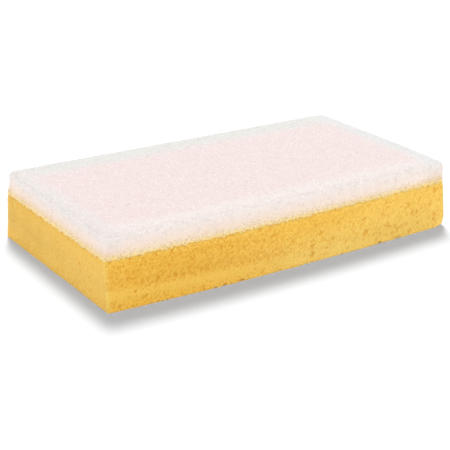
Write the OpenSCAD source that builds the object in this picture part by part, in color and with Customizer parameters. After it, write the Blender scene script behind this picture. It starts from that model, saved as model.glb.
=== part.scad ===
// Two-layer grout sponge: a cellular foam block with a nonwoven scrub pad laminated on top.
// X runs along the length, Z is up, and the origin is the centre of the foam's underside.

/* [Sponge block] */
// Length of the sponge, along X
sponge_length = 250; // [180:5:300]
// Width of the sponge, along Y
sponge_width = 140; // [90:5:180]
// Thickness of the foam block
foam_thickness = 31; // [20:1:50]
// Radius of the foam's upright edges, which are knife cuts gone slightly soft
foam_edge_radius = 0.8; // [0.2:0.1:3]

/* [Bond layer] */
// Thickness of the adhesive film between the foam and the pad
bond_thickness = 0.4; // [0.2:0.1:1]
// Distance that the film stays back from the foam's sides
bond_setback = 0.5; // [0.2:0.1:2]

/* [Scrub pad] */
// Thickness of the scrub pad
pad_thickness = 14.6; // [8:0.2:20]
// Radius of the pad's upright corners
pad_corner_radius = 1.5; // [0.5:0.5:5]
// Radius of the soft shoulder round the pad's top
pad_shoulder_radius = 4.5; // [2:0.5:7]

/* [Hidden] */
$fn = 64;
bond_z = foam_thickness;
pad_z = bond_z + bond_thickness;
// How far the pad's prisms run past each other where they cross
overrun = 5;

// Flat rectangle with round corners, centred on the origin
module rounded_rectangle(length, width, radius) {
    square([length, width - 2 * radius], center = true);
    square([length - 2 * radius, width], center = true);
    for (x = [-1, 1], y = [-1, 1])
        translate([x * (length / 2 - radius), y * (width / 2 - radius)])
            circle(r = radius);
}

// Section through the pad: square where it meets the bond, with both top corners rounded
module shouldered_section(width, height, radius) {
    translate([-width / 2, 0])
        square([width, height - radius]);
    translate([radius - width / 2, 0])
        square([width - 2 * radius, height]);
    for (x = [-1, 1])
        translate([x * (width / 2 - radius), height - radius])
            circle(r = radius);
}

// The foam block, which the sponge stands on
module sponge_block() {
    color("#ECB64F")
        linear_extrude(foam_thickness)
            rounded_rectangle(sponge_length, sponge_width, foam_edge_radius);
}

// The adhesive film, glued to the foam below and to the pad above
module bond_layer() {
    color("#F3DC9A")
        translate([0, 0, bond_z])
            linear_extrude(bond_thickness)
                rounded_rectangle(
                    sponge_length - 2 * bond_setback,
                    sponge_width - 2 * bond_setback,
                    foam_edge_radius
                );
}

// Prism with the pad's shouldered section, running across a pad of the given width
module shouldered_prism(run, width) {
    rotate([90, 0, 0])
        linear_extrude(run, center = true)
            shouldered_section(width, pad_thickness, pad_shoulder_radius);
}

// The scrub pad: an upright slab with soft shoulders along its length and across its width
module scrub_pad() {
    color("#F7E7E4")
        translate([0, 0, pad_z])
            intersection() {
                linear_extrude(pad_thickness)
                    rounded_rectangle(sponge_length, sponge_width, pad_corner_radius);
                shouldered_prism(sponge_width + 2 * overrun, sponge_length);
                rotate([0, 0, 90])
                    shouldered_prism(sponge_length + 2 * overrun, sponge_width);
            }
}

sponge_block();
bond_layer();
scrub_pad();
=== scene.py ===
"""Looks of a two-layer grout sponge: a porous foam block, a film of glue and a fibrous scrub pad.

Lengths are in metres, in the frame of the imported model: X runs along the sponge, Z is up, and the
foam's underside lies at Z = 0.
"""
import itertools
import math

import bpy
import numpy as np
from mathutils import Matrix, Vector


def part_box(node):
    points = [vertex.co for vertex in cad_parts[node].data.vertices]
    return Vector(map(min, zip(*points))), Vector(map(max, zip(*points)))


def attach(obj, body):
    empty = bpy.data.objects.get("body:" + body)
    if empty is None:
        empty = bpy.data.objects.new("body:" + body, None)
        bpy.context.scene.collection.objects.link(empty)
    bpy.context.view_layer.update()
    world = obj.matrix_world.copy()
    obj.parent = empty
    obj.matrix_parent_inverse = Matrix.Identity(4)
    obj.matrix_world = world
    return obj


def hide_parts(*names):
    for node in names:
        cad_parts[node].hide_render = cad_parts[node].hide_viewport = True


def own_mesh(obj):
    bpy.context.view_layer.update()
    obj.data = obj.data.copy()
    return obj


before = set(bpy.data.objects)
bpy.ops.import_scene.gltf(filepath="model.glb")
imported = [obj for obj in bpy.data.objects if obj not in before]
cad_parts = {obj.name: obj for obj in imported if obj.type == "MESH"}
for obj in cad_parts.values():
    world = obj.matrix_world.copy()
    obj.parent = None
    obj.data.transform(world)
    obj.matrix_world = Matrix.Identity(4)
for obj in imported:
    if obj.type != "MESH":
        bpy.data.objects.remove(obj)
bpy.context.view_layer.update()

MM = 0.001

# ---------------------------------------------------------------- sizes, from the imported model

BLOCK_LOW, BLOCK_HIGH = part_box("sponge_block")
BOND_LOW, BOND_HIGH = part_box("bond_layer")
PAD_LOW, PAD_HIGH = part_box("scrub_pad")
LENGTH = BLOCK_HIGH.x - BLOCK_LOW.x
WIDTH = BLOCK_HIGH.y - BLOCK_LOW.y
FOAM_HEIGHT = BLOCK_HIGH.z
PAD_HEIGHT = PAD_HIGH.z - PAD_LOW.z

FOAM_EDGE = 1.0 * MM  # radius of the foam's upright edges
PAD_SHOULDER = 4.5 * MM  # radius of the soft shoulder round the pad's top
PAD_SQUARENESS = 7  # how tight the pad's upright corners are: 2 would be a plain round
FRONT_BOW = 3.4 * MM  # how far the long front side bulges near its middle
BOW_SHIFT = 0.3  # share by which that bulge leans towards the left end
FLARE = (0.5 * MM, 2.4 * MM)  # how far the foam's foot spreads beyond its top, at its ends and sides
SKEW = 0.65 * MM  # how far the foot's ends lean apart, from corner to corner
WORN_CORNER = 2.2 * MM  # how far the foot's front right corner is worn away
WORN_REACH = 11 * MM  # how far from that corner the wear ends
PAD_TAPER = (1.7 * MM, 0.4 * MM)  # how far the left and right ends of the pad draw in above the seam
PAD_TAPER_HEIGHT = 7 * MM  # height above the seam at which they are fully drawn in
PAD_DROOP = 1.2 * MM  # how far the pad's front right corner hangs
PAD_DROOP_REACH = 45 * MM  # how far from that corner the pad starts to hang
END_SKEW = 6.5 * MM  # how far the right end stands out at its back, for being cut a little askew
WEB_DEPTH = 0.10 * MM  # depth of the loose fibres that lie over the pad's core
FLOOR_GAP = 0.05 * MM
SHARP_ANGLE = math.radians(55)  # faces that meet more steeply than this meet in a crisp edge

# ---------------------------------------------------------------- camera and light

CAMERA_AZIMUTH = math.radians(-32.30)
CAMERA_ELEVATION = math.radians(20.59)
CAMERA_ROLL = math.radians(-0.61)
CAMERA_DISTANCE = 0.7236
CAMERA_AIM = Vector((0, 0, 0.02))
CAMERA_SLIDE = (-0.0017, -0.0150)  # across and up the picture
LENS = 87.8
SENSOR = 36.0
FLOOR_SIZE = 12.0
WORLD_STRENGTH = 1.15
SHADOW_AZIMUTH = CAMERA_AZIMUTH + math.pi + math.radians(3)  # almost straight behind the sponge
SHADOW_ELEVATIONS = (52, 55.5, 59, 62.5, 67)  # of the lamps that together make one tall soft light
SHADOW_SOFTNESS = math.radians(13)
SHADOW_STRENGTH = 7.2  # of each of those lamps
FLOOR_FILL = 21.6  # strength of the shadowless lamp that sets how pale the floor's shadow is


# ---------------------------------------------------------------- noise and mesh building


def value_noise(points, cell, seed):
    """Smooth noise from -1 to 1 at each point, with features about one cell across."""
    table = np.random.default_rng(seed).uniform(-1, 1, 4096)
    scaled = points / cell
    base = np.floor(scaled).astype(np.int64)
    part = scaled - base
    part = part * part * (3 - 2 * part)
    total = np.zeros(len(points))
    for corner in itertools.product((0, 1), repeat=3):
        where = base + np.array(corner)
        key = where[:, 0] * 73856093 ^ where[:, 1] * 19349663 ^ where[:, 2] * 83492791
        weight = np.prod(np.where(corner, part, 1 - part), axis=1)
        total += weight * table[key % len(table)]
    return total


def bowed(points):
    """The points with the long front side bulging outwards and the right end cut a little askew."""
    out = points.copy()
    along = 2 * points[:, 0] / LENGTH
    towards_right = np.clip(along, 0, None) ** 2
    out[:, 0] += END_SKEW * towards_right * (0.5 + points[:, 1] / WIDTH)
    towards_front = np.clip(-2 * points[:, 1] / WIDTH, 0, None)
    out[:, 1] -= FRONT_BOW * (1 - along**2) * (1 - BOW_SHIFT * along) * towards_front
    return out


def settled(points):
    """The foam's points with its foot spread outwards and one of its lower corners worn away."""
    out = points.copy()
    low_down = 1 - points[:, 2] / FOAM_HEIGHT
    out[:, 0] *= 1 + FLARE[0] / (LENGTH / 2) * low_down
    out[:, 0] += SKEW * low_down * (points[:, 0] / (LENGTH / 2) - points[:, 1] / (WIDTH / 2))
    out[:, 1] *= 1 + FLARE[1] / (WIDTH / 2) * low_down
    corner = np.array([LENGTH / 2, -WIDTH / 2, 0])
    near = np.clip(1 - np.linalg.norm(points - corner, axis=1) / WORN_REACH, 0, 1)
    return out + WORN_CORNER * (near**2)[:, None] * np.array([-0.6, 0.6, 0.5])


def outline(length, width, cells):
    """Points round a rectangle in plan, anticlockwise from its front left corner."""
    x = np.linspace(-length / 2, length / 2, cells[0] + 1)
    y = np.linspace(-width / 2, width / 2, cells[1] + 1)
    front = np.stack([x[:-1], np.full(cells[0], -width / 2)], 1)
    right = np.stack([np.full(cells[1], length / 2), y[:-1]], 1)
    return np.concatenate([front, right, -front, -right])


def at_height(plan, z):
    return np.concatenate([plan, np.full(plan.shape[:-1] + (1,), z)], -1)


class Skin:
    """The vertices and faces of one closed mesh while it is being built."""

    def __init__(self):
        self.points = np.zeros((0, 3))
        self.quads = []
        self.triangles = []

    def add(self, points):
        """Adds points and returns their indices in the same arrangement."""
        first = len(self.points)
        self.points = np.concatenate([self.points, points.reshape(-1, 3)])
        return np.arange(first, len(self.points)).reshape(points.shape[:-1])

    def band(self, ids):
        """Quads between neighbouring columns of ids, the last joined to the first."""
        after = np.roll(ids, -1, axis=0)
        quads = [ids[:, :-1], after[:, :-1], after[:, 1:], ids[:, 1:]]
        self.quads.append(np.stack(quads, -1).reshape(-1, 4))

    def stitch(self, outer, inner, up):
        """Triangles between a loop and one inside it with half as many points."""
        a, b, c = outer[0::2], outer[1::2], np.roll(outer[0::2], -1)
        d, e = inner, np.roll(inner, -1)
        faces = np.concatenate([np.stack(t, 1) for t in ((a, b, d), (b, e, d), (b, c, e))])
        self.triangles.append(faces if up else faces[:, ::-1])

    def close_end(self, loop, size, cells, z, halvings, up):
        """Fills a loop: each halving steps inwards to cells twice as large, and a grid fills the rest."""
        length, width = size
        nx, ny = cells
        for _ in range(halvings):
            nx, ny = nx // 2, ny // 2
            length, width = length * (1 - 1 / nx), width - length / nx
            inner = self.add(at_height(outline(length, width, (nx, ny)), z))
            self.stitch(loop, inner, up)
            loop = inner
        x = np.linspace(-length / 2, length / 2, nx + 1)[1:-1]
        y = np.linspace(-width / 2, width / 2, ny + 1)[1:-1]
        grid = np.empty((nx + 1, ny + 1), int)
        grid[1:-1, 1:-1] = self.add(at_height(np.stack(np.meshgrid(x, y, indexing="ij"), -1), z))
        grid[:-1, 0] = loop[:nx]
        grid[-1, :-1] = loop[nx : nx + ny]
        grid[:0:-1, -1] = loop[nx + ny : 2 * nx + ny]
        grid[0, :0:-1] = loop[2 * nx + ny :]
        quads = [grid[:-1, :-1], grid[1:, :-1], grid[1:, 1:], grid[:-1, 1:]]
        quads = np.stack(quads, -1).reshape(-1, 4)
        self.quads.append(quads if up else quads[:, ::-1])
        return grid

    def object(self, name, points, attributes):
        quads = np.concatenate(self.quads)
        triangles = np.concatenate(self.triangles + [np.zeros((0, 3), int)])
        return mesh_object(name, points, quads, triangles, attributes)


def mesh_object(name, points, quads, triangles, attributes):
    """An object of those faces, smooth but for its sharp turns, with attributes at its points."""
    mesh = bpy.data.meshes.new(name)
    corners = np.concatenate([quads.ravel(), triangles.ravel()])
    sizes = np.repeat([4, 3], [len(quads), len(triangles)])
    mesh.vertices.add(len(points))
    mesh.vertices.foreach_set("co", points.astype(np.float32).ravel())
    mesh.loops.add(len(corners))
    mesh.loops.foreach_set("vertex_index", corners.astype(np.int32))
    mesh.polygons.add(len(sizes))
    mesh.polygons.foreach_set("loop_start", (np.cumsum(sizes) - sizes).astype(np.int32))
    mesh.update(calc_edges=True)
    for label, values in attributes.items():
        kind, field = ("FLOAT_VECTOR", "vector") if values.ndim == 2 else ("FLOAT", "value")
        layer = mesh.attributes.new(label, kind, "POINT")
        layer.data.foreach_set(field, values.astype(np.float32).ravel())
    mesh.validate()
    mesh.shade_smooth()
    mesh.set_sharp_from_angle(angle=SHARP_ANGLE)
    piece = bpy.data.objects.new(name, mesh)
    bpy.context.scene.collection.objects.link(piece)
    return piece


# ---------------------------------------------------------------- foam block

FOAM_CELLS = (416, 232)  # along and across; both halve three times
FOAM_ROWS = 53
RIM_ROWS = 7  # rows at the top that draw in under the pad
DEEP_PORE = 0.42 * MM  # depth from which a pore has its full painted shade
UNDERSIDE_HALVINGS = 1
TOP_HALVINGS = 3
SIZE_SPREAD = 0.28  # how much pores differ in size, as the spread of its logarithm
TILT_SPREAD = 0.28  # how much they differ in direction, in radians
CUP_DEPTH = 0.65  # how deep a pore is, as a share of its half width
CUP_WAVE = 0.18  # how uneven its rim is


def constant(value):
    """A function that gives the same value at every place."""
    return lambda *place: value


def scatter(rng, count, span, height, radius, stretch, tilt, keep):
    """Oval pores on a face, each (along, up, half length, half width, tilt).

    radius and tilt depend on the share of the way along the face, t. keep is the chance that a pore
    stays, which also depends on the share of the way up, h.
    """
    t = rng.uniform(0, 1, count)
    h = rng.uniform(0, 1, count)
    size = radius(t) * np.exp(rng.normal(0, SIZE_SPREAD, count))
    longer = rng.uniform(*stretch, count)
    angle = tilt(t) + rng.normal(0, TILT_SPREAD, count)
    kept = rng.uniform(0, 1, count) < keep(t, h)
    pores = np.stack([t * span, h * height, size * np.sqrt(longer), size / np.sqrt(longer), angle], 1)
    return pores[kept]


def smooth_band(t, h):
    """1 inside the dense band that runs low along a long side and sinks to its bottom, 0 outside it."""
    middle = 0.31 - 0.30 * t
    return np.exp(-(((h - middle) / 0.11) ** 2)) * np.clip(1.25 - t, 0, 1)


def long_side_pores(rng):
    """Pores of a long side: small and close on the left, sparser and larger towards the right.

    A row of larger ones lies over the smooth band, ovals dot the right half, and nicks the lower edge.
    """

    def open_area(t, h):
        below_band = (h < 0.26 - 0.30 * t) * 0.7
        return np.clip(1 - smooth_band(t, h) - below_band, 0.06, 1) * (1 - 0.55 * t)

    small = scatter(
        rng, 4400, LENGTH, FOAM_HEIGHT,
        lambda t: (0.48 + 0.04 * t) * MM, (1.4, 2.4), lambda t: 0.75 + 0.45 * t, open_area,
    )
    large = scatter(
        rng, 260, LENGTH, FOAM_HEIGHT,
        lambda t: (0.5 + 0.6 * t**2) * MM, (1.3, 2.4), lambda t: 0.7 + 0.5 * t, open_area,
    )
    row = scatter(
        rng, 46, 0.5 * LENGTH, FOAM_HEIGHT,
        constant(0.62 * MM), (1.3, 2.2), constant(0.6), constant(1),
    )
    row[:, 1] = FOAM_HEIGHT * (0.45 - 0.2 * row[:, 0] / LENGTH) + rng.normal(0, 0.6 * MM, len(row))
    ovals = scatter(
        rng, 30, LENGTH, 0.9 * FOAM_HEIGHT,
        lambda t: (0.9 + 0.35 * t) * MM, (1.5, 2.3), constant(1.1), lambda t, h: t > 0.5,
    )
    nicks = scatter(
        rng, 16, LENGTH, 0.6 * MM,
        constant(0.95 * MM), (1.0, 1.6), constant(0.3), lambda t, h: t > 0.25,
    )
    return np.concatenate([small, large, row, ovals, nicks])


def short_side_pores(rng):
    """Pores of a short side: a fine, even texture with a few slightly larger ones."""
    small = scatter(
        rng, 1900, WIDTH, FOAM_HEIGHT,
        constant(0.36 * MM), (1.0, 1.6), constant(0.8), constant(1),
    )
    large = scatter(
        rng, 22, WIDTH, FOAM_HEIGHT,
        constant(0.45 * MM), (1.1, 1.8), constant(1.2), constant(1),
    )
    return np.concatenate([small, large])


def side_pores():
    """Pores of all four sides, as a strip that runs round the block from its front left edge."""
    rng = np.random.default_rng(11)
    faces = [(0, long_side_pores), (LENGTH, short_side_pores)]
    faces += [(LENGTH + WIDTH, long_side_pores), (2 * LENGTH + WIDTH, short_side_pores)]
    placed = []
    for start, make in faces:
        pores = make(rng)
        pores[:, 0] += start
        placed.append(pores)
    return np.concatenate(placed)


def underside_pores():
    """Pores of the underside, which is one cut through the foam's cells."""
    rng = np.random.default_rng(12)
    return scatter(
        rng, 2600, LENGTH, WIDTH,
        constant(1.35 * MM), (1.0, 1.7), lambda t: 6.0 * t, constant(1),
    )


def carve(shape, spacing, pores, wraps, rng):
    """Depth of the pores at each point of a grid: each is a cup with a wavy rim.

    The grid's first direction joins up with itself where it wraps.
    """
    depth = np.zeros(shape)
    for along, up, half_length, half_width, tilt in pores:
        reach = 1.3 * half_length
        i = np.arange(math.ceil((along - reach) / spacing[0]), int((along + reach) / spacing[0]) + 1)
        j = np.arange(math.ceil((up - reach) / spacing[1]), int((up + reach) / spacing[1]) + 1)
        i = i if wraps else i[(i >= 0) & (i < shape[0])]
        j = j[(j >= 0) & (j < shape[1])]
        if not len(i) or not len(j):
            continue
        u = (i * spacing[0] - along)[:, None]
        v = (j * spacing[1] - up)[None, :]
        major = u * math.cos(tilt) + v * math.sin(tilt)
        minor = v * math.cos(tilt) - u * math.sin(tilt)
        wave = 1 + CUP_WAVE * np.sin(3 * np.arctan2(minor, major) + rng.uniform(0, 6.3))
        inside = 1 - ((major / half_length) ** 2 + (minor / half_width) ** 2) * wave
        cup = CUP_DEPTH * half_width * np.sqrt(np.clip(inside, 0, 1))
        window = np.ix_(i % shape[0], j)
        depth[window] = np.maximum(depth[window], cup)
    return depth


def rounded_plan():
    """The foam's outline with soft corners, and the outward direction at each of its points."""
    plan = outline(LENGTH, WIDTH, FOAM_CELLS)
    inner = np.array([LENGTH / 2 - FOAM_EDGE, WIDTH / 2 - FOAM_EDGE])
    nearest = np.clip(plan, -inner, inner)
    outward = (plan - nearest) / np.linalg.norm(plan - nearest, axis=1, keepdims=True)
    return nearest + FOAM_EDGE * outward, outward


def unevenness(side):
    """How far the cut sides lie inside the plain block: waves, grain, and a rim that draws in."""
    flat = side.reshape(-1, 3)
    uneven = 0.22 * MM * value_noise(flat, 14 * MM, 14).reshape(side.shape[:2])
    uneven += 0.07 * MM * value_noise(flat, 1.5 * MM, 15).reshape(side.shape[:2])
    uneven[:, 0] += 0.2 * MM
    uneven[:, -RIM_ROWS:] *= np.linspace(0.6, 0.15, RIM_ROWS)
    uneven[:, -RIM_ROWS:] += np.linspace(0.1, 0.35, RIM_ROWS) * MM
    return uneven


def foam_block():
    """The foam block: cut sides with open pores, crisp edges and a slight bulge along the front."""
    skin = Skin()
    plan, outward = rounded_plan()
    heights = np.linspace(0, FOAM_HEIGHT, FOAM_ROWS + 1)
    side = np.concatenate([at_height(plan, z)[:, None] for z in heights], 1)
    ids = skin.add(side)
    skin.band(ids)
    skin.close_end(ids[:, -1], (LENGTH, WIDTH), FOAM_CELLS, FOAM_HEIGHT, TOP_HALVINGS, True)
    under = skin.close_end(ids[:, 0], (LENGTH, WIDTH), FOAM_CELLS, 0, UNDERSIDE_HALVINGS, False)
    rest = skin.points.copy()
    points = skin.points.copy()
    pore = np.zeros(len(points))

    rng = np.random.default_rng(13)
    spacing = (2 * (LENGTH + WIDTH) / len(plan), heights[1])
    pore[ids] = carve(ids.shape, spacing, side_pores(), True, rng)
    points[ids, :2] -= (pore[ids] + unevenness(side))[..., None] * outward[:, None]
    ragged = np.clip(0.25 + 0.9 * value_noise(rest[ids[:, -1]], 1.8 * MM, 16), 0, 1) * MM
    points[ids[:, -2:], 2] -= ragged[:, None] * np.array([0.5, 1])

    spacing = (LENGTH / under.shape[0], WIDTH / under.shape[1])
    open_under = under[1:-1, 1:-1]
    pore[open_under] = carve(under.shape, spacing, underside_pores(), False, rng)[1:-1, 1:-1]
    points[open_under, 2] += pore[open_under]

    band = np.zeros(len(points))
    along = np.clip(side[..., 0] / LENGTH + 0.5, 0, 1)
    on_long_side = (np.abs(outward[:, 1]) > 0.7)[:, None]
    band[ids] = smooth_band(along, side[..., 2] / FOAM_HEIGHT) * on_long_side

    # pore: how deep each point lies in a pore, which sets its painted shade
    attributes = {"rest": rest, "pore": np.clip(pore / DEEP_PORE, 0, 1), "band": band}
    return skin.object("foam_block", bowed(settled(points)), attributes)


# ---------------------------------------------------------------- scrub pad

PAD_CELLS = (296, 168)
PAD_ROWS = 14
FIBRES = (6000, 6000)  # on the top, and round the sides
FIBRE_STEPS = 5
FIBRE_SIDES = 3
FIBRES_PER_PIECE = 6000
PALE_FIBRES = 0.3  # share of the fibres that have the paler of a zone's two shades
SKIRT = (0.4 * MM, 1.3 * MM)  # how far the pad's rim laps down over the foam: at least, and at most more
SKIRT_OUT = 0.2 * MM  # how far the skirt's lower edge stands out
TUCK_OUT = 0.05 * MM  # how far the pad's underside stands out behind it


def on_pad(points, lift):
    """The nearest points to those given on the pad's soft-shouldered box, and their outward directions.

    lift is how far outside that box they lie.
    """
    high = np.array([LENGTH / 2, WIDTH / 2, PAD_HIGH.z]) - PAD_SHOULDER
    low = np.array([-high[0], -high[1], PAD_LOW.z - PAD_HEIGHT])
    core = np.clip(points, low, high)
    away = points - core
    reach = np.abs(away[..., :2])
    flat = np.sum(reach**PAD_SQUARENESS, axis=-1, keepdims=True) ** (1 / PAD_SQUARENESS)
    size = np.maximum(np.hypot(flat, away[..., 2:]), 1e-9)
    steep = (reach / np.maximum(flat, 1e-9)) ** (PAD_SQUARENESS - 1) * flat / size
    outward = np.concatenate([steep * np.sign(away[..., :2]), away[..., 2:] / size], -1)
    outward /= np.maximum(np.linalg.norm(outward, axis=-1, keepdims=True), 1e-9)
    return core + away * (PAD_SHOULDER / size) + outward * lift, outward


def seam_share(points):
    """1 at the seam, falling to 0 near the top of the pad's sides."""
    return np.clip(1 - (points[:, 2] - PAD_LOW.z) / (10 * MM), 0, 1)


def rim_share(points):
    """1 along the edges of the pad's top, falling to 0 well inside them."""
    inside = np.minimum(LENGTH / 2 - np.abs(points[:, 0]), WIDTH / 2 - np.abs(points[:, 1]))
    return np.clip(1 - inside / (20 * MM), 0, 1)


def relaxed(points):
    """The pad's points with its ends drawn in above the seam and its front right corner hanging."""
    out = points.copy()
    up = np.clip((points[..., 2] - PAD_LOW.z) / PAD_TAPER_HEIGHT, 0, 1)
    up = up * up * (3 - 2 * up)
    taper = np.where(points[..., 0] < 0, PAD_TAPER[0], PAD_TAPER[1])
    out[..., 0] *= 1 - taper / (LENGTH / 2) * up
    corner = np.array([LENGTH / 2, -WIDTH / 2])
    near = np.clip(1 - np.linalg.norm(points[..., :2] - corner, axis=-1) / PAD_DROOP_REACH, 0, 1)
    out[..., 2] -= PAD_DROOP * near * up
    return out


def pad_core():
    """The dense middle of the pad, softly lumpy, with a ragged skirt round its foot."""
    skin = Skin()
    size = (LENGTH, WIDTH)
    heights = np.linspace(PAD_LOW.z, PAD_HIGH.z, PAD_ROWS + 1)
    heights = np.concatenate([heights[:1], heights])  # the lowest ring twice: the tuck and the skirt
    plan = outline(LENGTH, WIDTH, PAD_CELLS)
    ids = skin.add(np.concatenate([at_height(plan, z)[:, None] for z in heights], 1))
    skin.band(ids)
    skin.close_end(ids[:, -1], size, PAD_CELLS, PAD_HIGH.z, 0, True)
    skin.close_end(ids[:, 0], size, PAD_CELLS, PAD_LOW.z, TOP_HALVINGS, False)

    points, outward = on_pad(skin.points, -WEB_DEPTH)
    lumps = value_noise(points, 2.0 * MM, 21) * 0.05 + value_noise(points, 1.0 * MM, 22) * 0.06
    under = skin.points[:, 2] < PAD_LOW.z + 0.1 * MM
    points = points + outward * (lumps * MM)[:, None] * ~under[:, None]
    points[under, 2] = PAD_LOW.z
    tuck, foot = ids[:, 0], ids[:, 1]
    ragged = np.clip(0.5 + 0.9 * value_noise(points[foot], 1.5 * MM, 23), 0, 1)
    points[foot, 2] -= SKIRT[0] + SKIRT[1] * ragged
    points[foot] += outward[foot] * (WEB_DEPTH + SKIRT_OUT)
    points[tuck] += outward[tuck] * (WEB_DEPTH + TUCK_OUT)
    points = relaxed(points)
    attributes = {"rest": points, "seam": seam_share(points)}
    return skin.object("pad_core", bowed(points), attributes)


def fibre_starts(rng, count_top, count_side):
    """Where the fibres' middles lie and which way they run: over the top, and along the sides."""
    top = rng.uniform([-LENGTH / 2, -WIDTH / 2], [LENGTH / 2, WIDTH / 2], (count_top, 2))
    top = at_height(top, PAD_HIGH.z)
    plan = outline(LENGTH, WIDTH, (2500, 1400))
    side = at_height(plan[(rng.uniform(0, 1, count_side) * len(plan)).astype(int)], 0)
    side[:, 2] = rng.uniform(PAD_LOW.z + 0.3 * MM, PAD_HIGH.z - 0.5 * MM, count_side)
    middle = np.concatenate([top, side])
    heading = rng.normal(0, 1, (len(middle), 3))
    return middle, heading


def fibre_lines(rng, middle, heading):
    """The centreline of each curled fibre and its outward directions.

    Each is walked both ways from its middle over the pad's surface.
    """
    count = len(middle)
    length = rng.uniform(1.6, 4.2, count) * MM
    bend = rng.normal(0, 1, count) / (1.1 * MM)
    depth = -WEB_DEPTH * rng.uniform(0, 1, count) ** 0.7
    hump = rng.uniform(0.0, 0.04, count) * MM
    wave = rng.uniform(0, 2 * math.pi, count)
    step = length / FIBRE_STEPS
    half = FIBRE_STEPS // 2
    line = np.zeros((FIBRE_STEPS + 1, count, 3))
    normal = np.zeros_like(line)
    for way, steps in ((1, FIBRE_STEPS - half), (-1, half)):
        place, direction = middle.copy(), heading * way
        for k in range(steps + 1):
            lift = depth + hump * np.sin(wave + 1.5 * k * way)
            place, outward = on_pad(place, lift[:, None])
            direction = direction - outward * np.sum(direction * outward, 1, keepdims=True)
            direction /= np.linalg.norm(direction, axis=1, keepdims=True)
            line[half + k * way] = place
            normal[half + k * way] = outward
            turn = np.cross(outward, direction)
            direction = direction + turn * (bend * step * way)[:, None]
            place = place + direction * step[:, None]
    line[..., 2] = np.maximum(line[..., 2], PAD_LOW.z - 0.6 * MM)
    return relaxed(line), normal


def fibre_tubes(rng, line, normal):
    """Closed thin tubes along the centrelines: points, quads and end triangles for each fibre."""
    steps, count = line.shape[:2]
    radius = rng.uniform(0.03, 0.055, count) * MM
    along = np.gradient(line, axis=0)
    along /= np.linalg.norm(along, axis=2, keepdims=True)
    across = np.cross(along, normal)
    across /= np.linalg.norm(across, axis=2, keepdims=True)
    over = np.cross(across, along)
    taper = np.ones(steps)
    taper[[0, -1]] = 0.6
    ring = []
    for k in range(FIBRE_SIDES):
        angle = 2 * math.pi * k / FIBRE_SIDES
        spoke = across * math.cos(angle) + over * math.sin(angle)
        ring.append(line + spoke * (radius[None, :] * taper[:, None])[..., None])
    points = np.stack(ring, 2).transpose(1, 0, 2, 3)
    ids = np.arange(points.size // 3).reshape(points.shape[:-1])
    after = np.roll(ids, -1, axis=2)
    quads = np.stack([ids[:, :-1], ids[:, 1:], after[:, 1:], after[:, :-1]], -1)
    ends = np.stack([ids[:, 0], ids[:, -1, ::-1]], 1)
    return points, quads, ends


def fibre_zone(middle):
    """Which finish each fibre has: 0 top, 1 rim, 2 high on a side, 3 lower down, 4 at the seam."""
    seam = seam_share(middle)
    zone = np.where(rim_share(middle) > 0.62, 1, 0)
    zone = np.where(seam > 0.08, 2, zone)
    zone = np.where(seam > 0.55, 3, zone)
    return np.where(seam > 0.86, 4, zone)


def pad_fibres():
    """The loose web over the core, as separate pieces of a few thousand fibres each."""
    rng = np.random.default_rng(31)
    middle, heading = fibre_starts(rng, *FIBRES)
    on_side = middle[:, 2] < PAD_HIGH.z - 0.1 * MM
    order = np.lexsort((np.where(on_side, 0, middle[:, 0]), on_side))  # the top's by x, then the sides'
    middle = middle[order]
    heading = heading[order]
    line, normal = fibre_lines(rng, middle, heading)
    points, quads, ends = fibre_tubes(rng, line, normal)
    zone = fibre_zone(line[FIBRE_STEPS // 2])
    pale = (rng.uniform(0, 1, len(middle)) < PALE_FIBRES).astype(int)
    pieces = []
    for first in range(0, len(middle), FIBRES_PER_PIECE):
        some = slice(first, first + FIBRES_PER_PIECE)
        base = first * points.shape[1] * FIBRE_SIDES
        piece = mesh_object(
            f"pad_fibres_{len(pieces) + 1}",
            bowed(points[some].reshape(-1, 3)),
            quads[some].reshape(-1, 4) - base,
            ends[some].reshape(-1, 3) - base,
            {},
        )
        finish = zone[some] * 2 + pale[some]
        per_fibre = quads.shape[1] * quads.shape[2]
        index = np.concatenate([np.repeat(finish, per_fibre), np.repeat(finish, 2)])
        piece.data.polygons.foreach_set("material_index", index.astype(np.int32))
        pieces.append(piece)
    return pieces


# ---------------------------------------------------------------- bond

BOND_CELLS = (416, 232)
BOND_CORNER = 2 * MM  # radius of the film's corners


def bond_bead():
    """The glue film, whose rim shows along the seam as a thin uneven line."""
    skin = Skin()
    plan = outline(LENGTH, WIDTH, BOND_CELLS)
    inner = np.array([LENGTH / 2 - BOND_CORNER, WIDTH / 2 - BOND_CORNER])
    nearest = np.clip(plan, -inner, inner)
    outward = (plan - nearest) / np.linalg.norm(plan - nearest, axis=1, keepdims=True)
    rim = at_height(nearest + outward * BOND_CORNER, BOND_LOW.z)
    wander = value_noise(rim, 2.6 * MM, 41)
    ragged = value_noise(rim, 1.3 * MM, 42)
    reach = (-0.14 + 0.10 * wander + 0.12 * ragged) * MM
    top = (0.5 + 0.2 * wander) * MM
    setback = np.full(len(rim), -0.8 * MM)
    lip = 0.25 * MM
    sag = 0.15 * MM
    profile = [(setback, 0), (reach, -sag), (reach + lip, 0.35 * top), (reach, top), (setback, top)]
    rings = []
    for shift, rise in profile:
        place = rim.copy()
        place[:, :2] += outward * shift[:, None]
        place[:, 2] += rise
        rings.append(place[:, None])
    ids = skin.add(np.concatenate(rings, 1))
    skin.band(ids)
    size = (LENGTH - 3 * MM, WIDTH - 3 * MM)
    skin.close_end(ids[:, -1], size, BOND_CELLS, BOND_HIGH.z, TOP_HALVINGS, True)
    skin.close_end(ids[:, 0], size, BOND_CELLS, BOND_LOW.z, TOP_HALVINGS, False)
    return skin.object("bond_film", bowed(skin.points), {"rest": skin.points})


# ---------------------------------------------------------------- materials


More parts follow.
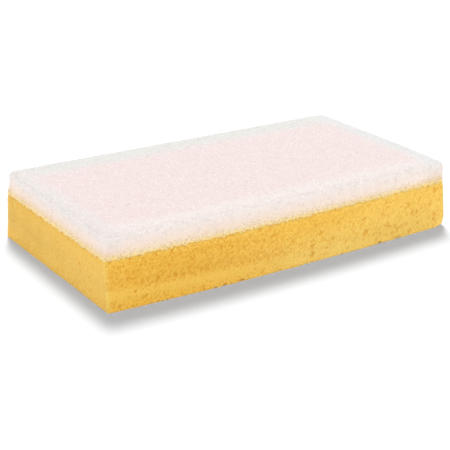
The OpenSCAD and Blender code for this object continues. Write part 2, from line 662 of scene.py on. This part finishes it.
class Shader:
    """A material on one Principled shader, built up from nodes."""

    def __init__(self, name, **sockets):
        self.material = bpy.data.materials.new(name)
        self.material.use_nodes = True
        self.tree = self.material.node_tree
        self.surface = self.tree.nodes["Principled BSDF"]
        self.fill_named(self.surface, sockets)

    def fill(self, socket, value):
        """Links the socket to another one, or sets it to a plain value."""
        if isinstance(value, bpy.types.NodeSocket):
            self.tree.links.new(value, socket)
        else:
            socket.default_value = value

    def fill_named(self, node, values):
        """Fills each named input, where an underscore stands for a space."""
        for name, value in values.items():
            self.fill(node.inputs[name.replace("_", " ")], value)

    def node(self, kind, settings=None, **values):
        made = self.tree.nodes.new("ShaderNode" + kind)
        for name, value in (settings or {}).items():
            setattr(made, name, value)
        self.fill_named(made, values)
        return made

    def attribute(self, name):
        return self.node("Attribute", {"attribute_name": name})

    def maths(self, operation, *values):
        made = self.node("Math", {"operation": operation})
        for socket, value in zip(made.inputs, values):
            self.fill(socket, value)
        return made.outputs[0]

    def times(self, first, *others):
        """The product of two or more values."""
        for other in others:
            first = self.maths("MULTIPLY", first, other)
        return first

    def plus(self, first, second):
        return self.maths("ADD", first, second)

    def minus(self, first, second):
        return self.maths("SUBTRACT", first, second)

    def size_of(self, value):
        return self.maths("ABSOLUTE", value)

    def between(self, value, low, high, to_low=0.0, to_high=1.0):
        """value taken smoothly from the range low to high to another range. low may be the larger."""
        made = self.node(
            "MapRange", {"interpolation_type": "SMOOTHSTEP"},
            Value=value, From_Min=low, From_Max=high, To_Min=to_low, To_Max=to_high,
        )
        return made.outputs["Result"]

    def mix(self, share, first, second):
        """The first colour, going over to the second as share goes from 0 to 1."""
        made = self.node("Mix", {"data_type": "RGBA"})
        for index, value in ((0, share), (6, first), (7, second)):
            self.fill(made.inputs[index], value)
        return made.outputs[2]

    def noise(self, where, feature, detail=2.0):
        made = self.node("TexNoise", Vector=where, Scale=1 / feature, Detail=detail)
        return made.outputs["Fac"]

    def cells(self, where, feature):
        made = self.node("TexVoronoi", Vector=where, Scale=1 / feature)
        return made.outputs["Distance"]

    def finish(self, colour, bump, depth):
        normal = self.node("Bump", Strength=1.0, Distance=depth, Height=bump).outputs[0]
        self.fill_named(self.surface, {"Base_Color": colour, "Normal": normal})
        return self.material


def rgb(red, green, blue):
    return (red, green, blue, 1.0)


# painted shade: the deeper orange that stands for the shade down in pores and pits
PORE_SHADE = rgb(0.67, 0.30, 0.018)


def foam_tint(shader, place, band, at_end):
    """The foam's colour without the painted shade of its pores: orange at the left of the long sides,
    paler at the right, with painted light low down against the floor's shade.
    """
    x, y, z = place
    on_long_side = shader.minus(1.0, at_end)
    along = shader.between(x, -85 * MM, 45 * MM)
    colour = shader.mix(along, rgb(0.765, 0.43, 0.054), rgb(0.865, 0.585, 0.126))
    across = shader.between(y, -60 * MM, 60 * MM)
    end = shader.mix(across, rgb(0.735, 0.475, 0.094), rgb(0.64, 0.41, 0.075))
    colour = shader.mix(at_end, colour, end)
    colour = shader.mix(shader.times(band, 0.55), colour, rgb(0.93, 0.62, 0.125))
    # lighter and more orange low down on the left: partly the strip below the band, partly painted light
    # lifting the shade near the floor
    foot = shader.times(shader.between(z, 16 * MM, 0.0), shader.between(x, 0.0, -90 * MM))
    colour = shader.mix(shader.times(foot, 0.5), colour, rgb(0.92, 0.56, 0.080))
    head = shader.between(z, 12 * MM, 28 * MM)
    colour = shader.mix(shader.times(head, 0.35), colour, rgb(0.83, 0.505, 0.060))
    middle = shader.between(shader.size_of(shader.minus(x, 20 * MM)), 45 * MM, 10 * MM)
    colour = shader.mix(shader.times(head, middle, 0.55), colour, rgb(0.80, 0.465, 0.045))
    lower = shader.times(shader.between(z, 14 * MM, 5 * MM), middle)
    colour = shader.mix(shader.times(lower, 0.5), colour, rgb(0.93, 0.68, 0.19))
    rim = shader.times(shader.between(z, 26 * MM, 30.5 * MM), on_long_side)
    colour = shader.mix(shader.times(rim, 0.5), colour, rgb(0.87, 0.62, 0.15))
    # painted light: lighter low down on the long sides, lifting the shade that the floor's shadow casts
    # on the foot
    foot_light = shader.times(shader.between(z, 6.5 * MM, 0.5 * MM), on_long_side)
    pale = shader.mix(along, rgb(0.97, 0.54, 0.068), rgb(0.98, 0.66, 0.15))
    return shader.mix(shader.times(foot_light, 0.8), colour, pale)


def foam_pits(shader, rest, closed):
    """How deep in a pit too small for the mesh each point lies, from 0 to 1; it sets the pit's painted
    shade and its bump.
    """
    slant = shader.node("Mapping", Vector=rest, Rotation=(0, 0.8, 0), Scale=(1, 1, 0.55)).outputs[0]
    fine = shader.between(shader.cells(slant, 0.95 * MM), 0.36, 0.20)
    coarse = shader.between(shader.cells(slant, 1.7 * MM), 0.30, 0.18)
    return shader.times(shader.maths("MAXIMUM", fine, coarse), shader.minus(1.0, closed))


def foam_material():
    """Yellow cellular foam: paler along its upright corner edges, with a painted shade of deeper orange
    inside its pores and pits.
    """
    shader = Shader("foam", Roughness=0.9, Sheen_Weight=0.1, Specular_IOR_Level=0.25)
    rest = shader.attribute("rest").outputs["Vector"]
    pore = shader.attribute("pore").outputs["Fac"]
    band = shader.attribute("band").outputs["Fac"]
    place = shader.node("SeparateXYZ", Vector=rest).outputs
    to_side = shader.minus(LENGTH / 2, shader.size_of(place[0]))
    to_face = shader.minus(WIDTH / 2, shader.size_of(place[1]))
    at_end = shader.between(to_side, 1.6 * MM, 0.2 * MM)
    colour = foam_tint(shader, place, band, at_end)
    cloud = shader.between(shader.noise(rest, 14 * MM, 3), 0.35, 0.65)
    colour = shader.mix(shader.times(cloud, 0.25), colour, rgb(0.84, 0.53, 0.115))
    grain = shader.between(shader.noise(rest, 0.7 * MM, 1), 0.35, 0.65)
    colour = shader.mix(shader.times(grain, 0.22), colour, rgb(0.74, 0.38, 0.036))
    contrast = shader.between(place[0], -85 * MM, 60 * MM, 1.0, 0.62)
    pits = foam_pits(shader, rest, shader.times(shader.plus(band, at_end), 0.55))
    pits = shader.times(pits, contrast)
    # painted shade in the small pits, weaker towards the right
    colour = shader.mix(shader.times(pits, 0.8), colour, PORE_SHADE)
    # paler along the upright corner edges
    corner_edges = shader.between(shader.maths("MAXIMUM", to_side, to_face), 3.0 * MM, 0.4 * MM)
    colour = shader.mix(shader.times(corner_edges, 0.35), colour, rgb(0.77, 0.57, 0.145))
    # painted shade down in the pores, by their depth
    colour = shader.mix(shader.times(pore, contrast, 0.82), colour, PORE_SHADE)
    bump = shader.minus(shader.times(grain, 0.5), pits)
    return shader.finish(colour, bump, 0.08 * MM)


def pad_top_tint(shader, place, side, end):
    """The pad's colour from above: faintly pink, going over to greys along its sides and its ends."""
    x, y = place[0], place[1]
    front_to_back = shader.between(y, -60 * MM, 50 * MM)
    greys = shader.mix(front_to_back, rgb(0.715, 0.64, 0.61), rgb(0.622, 0.617, 0.588))
    colour = shader.mix(side, rgb(0.705, 0.583, 0.564), greys)
    left_to_right = shader.between(x, -60 * MM, 60 * MM)
    greys = shader.mix(left_to_right, rgb(0.665, 0.61, 0.59), rgb(0.632, 0.635, 0.625))
    return shader.mix(end, colour, greys)


def pad_side_glow(shader, colour, rest, x, height, end):
    """The same colour, going over to cream and then to pale yellow down the pad's sides: painted light,
    the yellow glow that the foam sends into the pad.
    """
    on_side = shader.between(height, 13.5 * MM, 10 * MM)
    high = shader.mix(end, rgb(0.795, 0.70, 0.65), rgb(0.74, 0.68, 0.65))
    colour = shader.mix(on_side, colour, high)
    rightward = shader.between(x, -40 * MM, 100 * MM)
    cream = shader.mix(rightward, rgb(0.825, 0.675, 0.55), rgb(0.855, 0.73, 0.645))
    cream = shader.mix(end, cream, rgb(0.78, 0.635, 0.545))
    colour = shader.mix(shader.between(height, 11 * MM, 3 * MM), colour, cream)
    low = shader.mix(end, rgb(0.82, 0.66, 0.45), rgb(0.755, 0.585, 0.36))
    colour = shader.mix(shader.between(height, 4.5 * MM, 1.0 * MM), colour, low)
    jag = shader.times(shader.minus(shader.noise(rest, 1.4 * MM, 1), 0.5), 4 * MM)
    deep = shader.between(shader.plus(height, jag), 1.3 * MM, 0.0)
    return shader.mix(deep, colour, rgb(0.80, 0.60, 0.25))


def core_material():
    """White nonwoven: faintly pink in the middle, neutral at the rim, with a painted cream-to-yellow glow
    from the foam near it and painted glints.
    """
    shader = Shader("nonwoven_core", Roughness=0.85, Sheen_Weight=0.3, Specular_IOR_Level=0.3)
    rest = shader.attribute("rest").outputs["Vector"]
    seam = shader.attribute("seam").outputs["Fac"]
    place = shader.node("SeparateXYZ", Vector=rest).outputs
    x, y, z = place
    cloud = shader.times(shader.noise(rest, 18 * MM, 2), 10 * MM)
    side = shader.plus(shader.size_of(y), cloud)
    side = shader.plus(side, shader.between(y, 0.0, 50 * MM, 0.0, 11 * MM))
    side = shader.between(side, WIDTH / 2 - 15 * MM, WIDTH / 2 + 1 * MM)
    end = shader.plus(shader.size_of(x), cloud)
    end = shader.plus(end, shader.between(x, 0.0, 60 * MM, 0.0, 4 * MM))
    end = shader.between(end, LENGTH / 2 - 12 * MM, LENGTH / 2 + 1 * MM)
    height = shader.minus(z, PAD_LOW.z)
    colour = pad_top_tint(shader, place, side, end)
    colour = pad_side_glow(shader, colour, rest, x, height, end)
    # painted glints: small near-white spots for fibres catching the light, higher up the pad; they also
    # raise the bump
    painted_glints = shader.between(shader.cells(rest, 1.4 * MM), 0.30, 0.14)
    painted_glints = shader.times(painted_glints, shader.between(height, 3 * MM, 12 * MM))
    colour = shader.mix(painted_glints, colour, rgb(0.93, 0.90, 0.885))
    # darker brown dots, more of them towards the seam; the bump sinks them
    brown_dots = shader.minus(shader.times(seam, 0.44), shader.cells(rest, 1.2 * MM))
    brown_dots = shader.between(brown_dots, 0.0, 0.12)
    colour = shader.mix(brown_dots, colour, rgb(0.62, 0.43, 0.22))
    return shader.finish(colour, shader.minus(painted_glints, brown_dots), 0.05 * MM)


def bond_material():
    """Pale yellow glue with foam skin in it."""
    shader = Shader("glue", Roughness=0.5, Specular_IOR_Level=0.4)
    rest = shader.attribute("rest").outputs["Vector"]
    cloud = shader.between(shader.noise(rest, 2.2 * MM, 2), 0.35, 0.65)
    colour = shader.mix(cloud, rgb(0.86, 0.57, 0.12), rgb(0.93, 0.71, 0.28))
    return shader.finish(colour, shader.noise(rest, 0.7 * MM, 1), 0.2 * MM)


# on the sides, the cream and yellow shades carry the same painted glow from the foam as the core
FIBRE_FINISHES = {
    "fibre_top_pink": rgb(0.84, 0.73, 0.71),
    "fibre_top_white": rgb(0.92, 0.87, 0.85),
    "fibre_rim_grey": rgb(0.78, 0.755, 0.74),
    "fibre_rim_white": rgb(0.88, 0.86, 0.85),
    "fibre_high_cream": rgb(0.87, 0.775, 0.72),
    "fibre_high_white": rgb(0.92, 0.86, 0.82),
    "fibre_low_cream": rgb(0.86, 0.72, 0.58),
    "fibre_low_white": rgb(0.90, 0.80, 0.70),
    "fibre_seam_cream": rgb(0.85, 0.66, 0.38),
    "fibre_seam_yellow": rgb(0.84, 0.60, 0.22),
}


def fibre_materials():
    """Plain satin fibres, in two shades for each part of the pad."""
    return [
        Shader(name, Base_Color=colour, Roughness=0.45, Sheen_Weight=0.2).material
        for name, colour in FIBRE_FINISHES.items()
    ]


# ---------------------------------------------------------------- stage


def make_camera():
    data = bpy.data.cameras.new("camera")
    data.lens = LENS
    data.sensor_width = SENSOR
    data.clip_start, data.clip_end = 0.01, 50
    camera = bpy.data.objects.new("camera", data)
    bpy.context.scene.collection.objects.link(camera)
    back = Vector((
        math.sin(CAMERA_AZIMUTH) * math.cos(CAMERA_ELEVATION),
        -math.cos(CAMERA_AZIMUTH) * math.cos(CAMERA_ELEVATION),
        math.sin(CAMERA_ELEVATION),
    ))
    turned = back.to_track_quat("Z", "Y").to_matrix() @ Matrix.Rotation(CAMERA_ROLL, 3, "Z")
    right, up = turned.col[0], turned.col[1]
    place = CAMERA_AIM + back * CAMERA_DISTANCE + right * CAMERA_SLIDE[0] + up * CAMERA_SLIDE[1]
    camera.matrix_world = Matrix.Translation(place) @ turned.to_4x4()
    bpy.context.scene.camera = camera


def white_world():
    world = bpy.data.worlds.new("white")
    world.use_nodes = True
    background = world.node_tree.nodes["Background"]
    background.inputs["Color"].default_value = rgb(1, 1, 1)
    background.inputs["Strength"].default_value = WORLD_STRENGTH
    bpy.context.scene.world = world


def make_floor():
    """A wide floor, dark in itself but lit white by lamps of its own, so that its shadows stay grey."""
    half = FLOOR_SIZE / 2
    corners = [(-half, -half), (half, -half), (half, half), (-half, half)]
    mesh = bpy.data.meshes.new("floor")
    mesh.from_pydata([(x, y, -FLOOR_GAP) for x, y in corners], [], [(0, 1, 2, 3)])
    floor = bpy.data.objects.new("floor", mesh)
    bpy.context.scene.collection.objects.link(floor)
    shader = Shader("floor", Base_Color=rgb(0.06, 0.06, 0.06), Roughness=1.0, Specular_IOR_Level=0.0)
    mesh.materials.append(shader.material)
    return floor


def sun(name, azimuth, elevation, strength, softness, floor, on_floor, shadows=True):
    """A distant soft lamp that lights either the floor alone or all but the floor."""
    data = bpy.data.lights.new(name, "SUN")
    data.energy = strength
    data.angle = softness
    data.use_shadow = shadows
    lamp = bpy.data.objects.new(name, data)
    bpy.context.scene.collection.objects.link(lamp)
    towards = Vector((
        math.sin(azimuth) * math.cos(elevation),
        -math.cos(azimuth) * math.cos(elevation),
        math.sin(elevation),
    ))
    lamp.rotation_mode = "QUATERNION"
    lamp.rotation_quaternion = towards.to_track_quat("Z", "Y")
    reached = bpy.data.collections.new(name + "_reach")
    reached.objects.link(floor)
    reached.collection_objects[0].light_linking.link_state = "INCLUDE" if on_floor else "EXCLUDE"
    lamp.light_linking.receiver_collection = reached


def make_lights(floor):
    for number, degrees in enumerate(SHADOW_ELEVATIONS, 1):
        name = f"floor_key_{number}"
        elevation = math.radians(degrees)
        sun(name, SHADOW_AZIMUTH, elevation, SHADOW_STRENGTH, SHADOW_SOFTNESS, floor, True)
    sun("floor_fill", 0, math.pi / 2, FLOOR_FILL, 0.0, floor, True, shadows=False)
    sun("overhead", math.radians(40), math.radians(75), 0.2, math.radians(60), floor, False)
    sun("front_fill", math.radians(-20), math.radians(6), 0.35, math.radians(60), floor, False)
    sun("left_fill", CAMERA_AZIMUTH - 1.2, math.radians(40), 0.2, math.radians(30), floor, False)


# ---------------------------------------------------------------- the model


def build():
    make_camera()
    white_world()
    make_lights(make_floor())

    block = foam_block()
    block.data.materials.append(foam_material())
    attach(block, "foam")
    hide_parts("sponge_block")
    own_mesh(block)

    bond = bond_bead()
    bond.data.materials.append(bond_material())
    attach(bond, "pad")
    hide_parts("bond_layer")

    core = pad_core()
    core.data.materials.append(core_material())
    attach(core, "pad")
    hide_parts("scrub_pad")

    finishes = fibre_materials()
    for piece in pad_fibres():
        for material in finishes:
            piece.data.materials.append(material)
        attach(piece, "pad")


build()
bpy.context.scene.view_settings.view_transform = "Standard"
